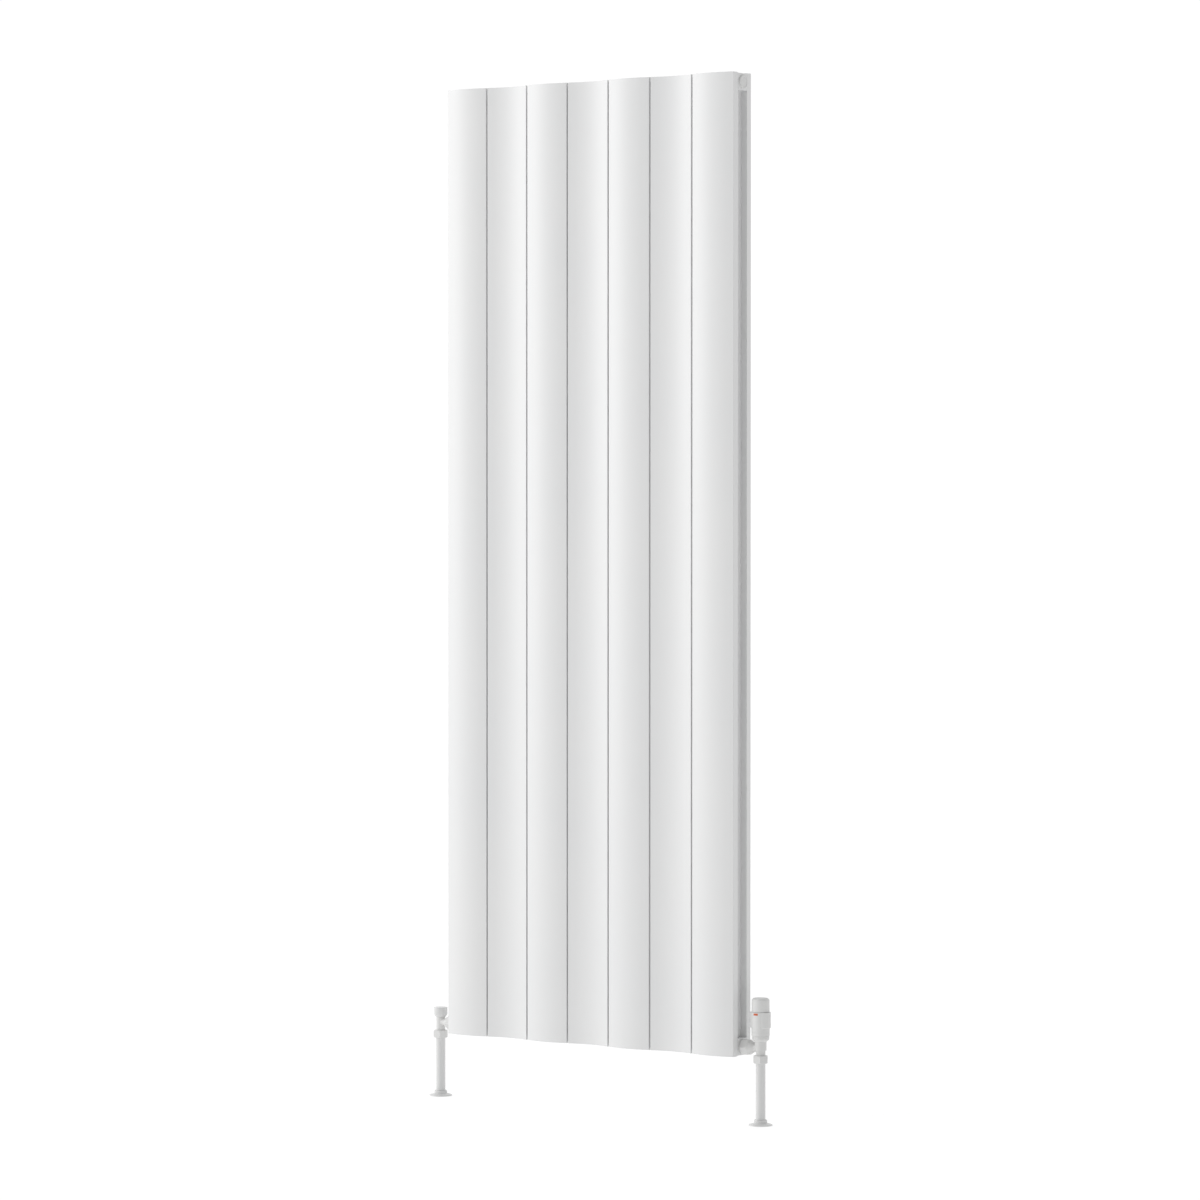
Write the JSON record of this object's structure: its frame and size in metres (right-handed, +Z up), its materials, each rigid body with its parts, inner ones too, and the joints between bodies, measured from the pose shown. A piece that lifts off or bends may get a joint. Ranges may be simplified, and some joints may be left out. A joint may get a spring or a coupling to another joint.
{
  "type": "radiator with valve",
  "caption": "Tall vertical column radiator with a wave-shaped front, thermostatic valve at the lower right, lockshield valve at the lower left, and floor-fed pipes in white sleeves.",
  "frame": {"origin": "middle of the rectangle of wall screws, on the wall plane", "axes": "+Z up; +X along the wall to the right of a person facing the radiator; +Y into the wall, so the front faces -Y"},
  "size_m": [0.7858, 0.0963, 1.925],
  "materials": {
    "powder_coat": "white satin powder coat, fine orange peel",
    "valve_paint": "white satin enamel on brass",
    "head_plastic": "white moulded plastic, satin",
    "trim_plastic": "white moulded plastic, soft gloss",
    "index_orange": "orange print",
    "zinc_steel": "zinc-plated",
    "spring_steel": "drawn wire",
    "brass": "machined",
    "copper": "drawn copper tube",
    "seal_rubber": "black EPDM rubber",
    "seal_white": "white silicone rubber"
  },
  "bodies": {
    "radiator": {"section_1": "powder_coat", "section_2": "powder_coat", "section_3": "powder_coat", "section_4": "powder_coat", "section_5": "powder_coat", "section_6": "powder_coat", "section_7": "powder_coat", "header_top": "powder_coat", "header_bottom": "powder_coat", "boss_top_left": "powder_coat", "boss_top_right": "powder_coat", "boss_bottom_left": "powder_coat", "boss_bottom_right": "powder_coat", "blank_plug": "brass", "plug_cover": "trim_plastic", "blank_plug_seal": "seal_white", "vent_plug": "valve_paint", "vent_plug_seal": "seal_white", "bracket_top_left": "zinc_steel", "bracket_top_right": "zinc_steel", "bracket_bottom_left": "zinc_steel", "bracket_bottom_right": "zinc_steel", "bracket_bolts": "zinc_steel", "bracket_nuts": "zinc_steel", "valve_tailpiece": "valve_paint", "valve_tail_seal": "seal_white", "valve_union_nut": "valve_paint", "valve_compression_nut": "valve_paint", "valve_olive": "brass", "valve_body": "valve_paint", "lockshield_tailpiece": "valve_paint", "lockshield_tail_seal": "seal_white", "lockshield_union_nut": "valve_paint", "lockshield_compression_nut": "valve_paint", "lockshield_olive": "brass", "lockshield_body": "valve_paint", "pipe_left": "copper", "pipe_sleeve_left": "trim_plastic", "pipe_right": "copper", "pipe_sleeve_right": "trim_plastic", "valve_insert": "brass", "head_lock_ring": "head_plastic", "head_base": "head_plastic", "index_mark": "index_orange", "return_spring": "spring_steel", "head_spring": "spring_steel", "lockshield_gland": "brass", "lockshield_seal": "seal_rubber"},
    "bleed_screw": {"bleed_screw": "brass"},
    "lockshield_cap": {"lockshield_cap": "trim_plastic"},
    "lockshield_spindle": {"lockshield_spindle": "brass"},
    "lockshield_plug": {"lockshield_plug": "brass"},
    "head_cap": {"head_cap": "head_plastic"},
    "sensor": {"head_sensor": "brass", "head_push_rod": "brass"},
    "valve_stem": {"valve_stem": "brass", "valve_disc": "seal_rubber"},
    "collar_left": {"floor_collar_left": "trim_plastic"},
    "collar_right": {"floor_collar_right": "trim_plastic"}
  },
  "joints": [
    {"name": "bleed_screw_turn", "type": "hinge", "parent": "radiator", "child": "bleed_screw", "pos_m": [-0.32995, -0.06, 0.8833], "axis": [-1, 0, 0], "range_deg": [0, 360]},
    {"name": "lockshield_cap_lift", "type": "slide", "parent": "radiator", "child": "lockshield_cap", "axis": [0, 0, 1], "range_m": [0, 0.03]},
    {"name": "lockshield_plug_slide", "type": "slide", "parent": "radiator", "child": "lockshield_plug", "axis": [0, 0, 1], "range_m": [-0.0015, 0.0015]},
    {"name": "lockshield_spindle_turn", "type": "hinge", "parent": "radiator", "child": "lockshield_spindle", "pos_m": [-0.37095, -0.06, -0.8833], "axis": [0, 0, 1], "range_deg": [-361, 361]},
    {"name": "sensor_slide", "type": "slide", "parent": "radiator", "child": "sensor", "axis": [0, 0, 1], "range_m": [-0.0016, 0.0016], "deforming": ["head_spring"]},
    {"name": "head_cap_turn", "type": "hinge", "parent": "radiator", "child": "head_cap", "pos_m": [0.37095, -0.06, -0.8833], "axis": [0, 0, 1], "range_deg": [-150.5, 150.5]},
    {"name": "valve_stem_slide", "type": "slide", "parent": "radiator", "child": "valve_stem", "axis": [0, 0, 1], "range_m": [-0.00163, 0.00163], "deforming": ["return_spring"]},
    {"name": "collar_left_lift", "type": "slide", "parent": "radiator", "child": "collar_left", "axis": [0, 0, 1], "range_m": [0, 0.06]},
    {"name": "collar_right_lift", "type": "slide", "parent": "radiator", "child": "collar_right", "axis": [0, 0, 1], "range_m": [0, 0.06]}
  ],
  "couplings": [
    {"joint": "head_cap_turn", "follows": "sensor_slide", "rad_per_m": 1636.2},
    {"joint": "valve_stem_slide", "follows": "sensor_slide", "ratio": 1},
    {"joint": "lockshield_spindle_turn", "follows": "lockshield_plug_slide", "rad_per_m": 4188.8}
  ]
}
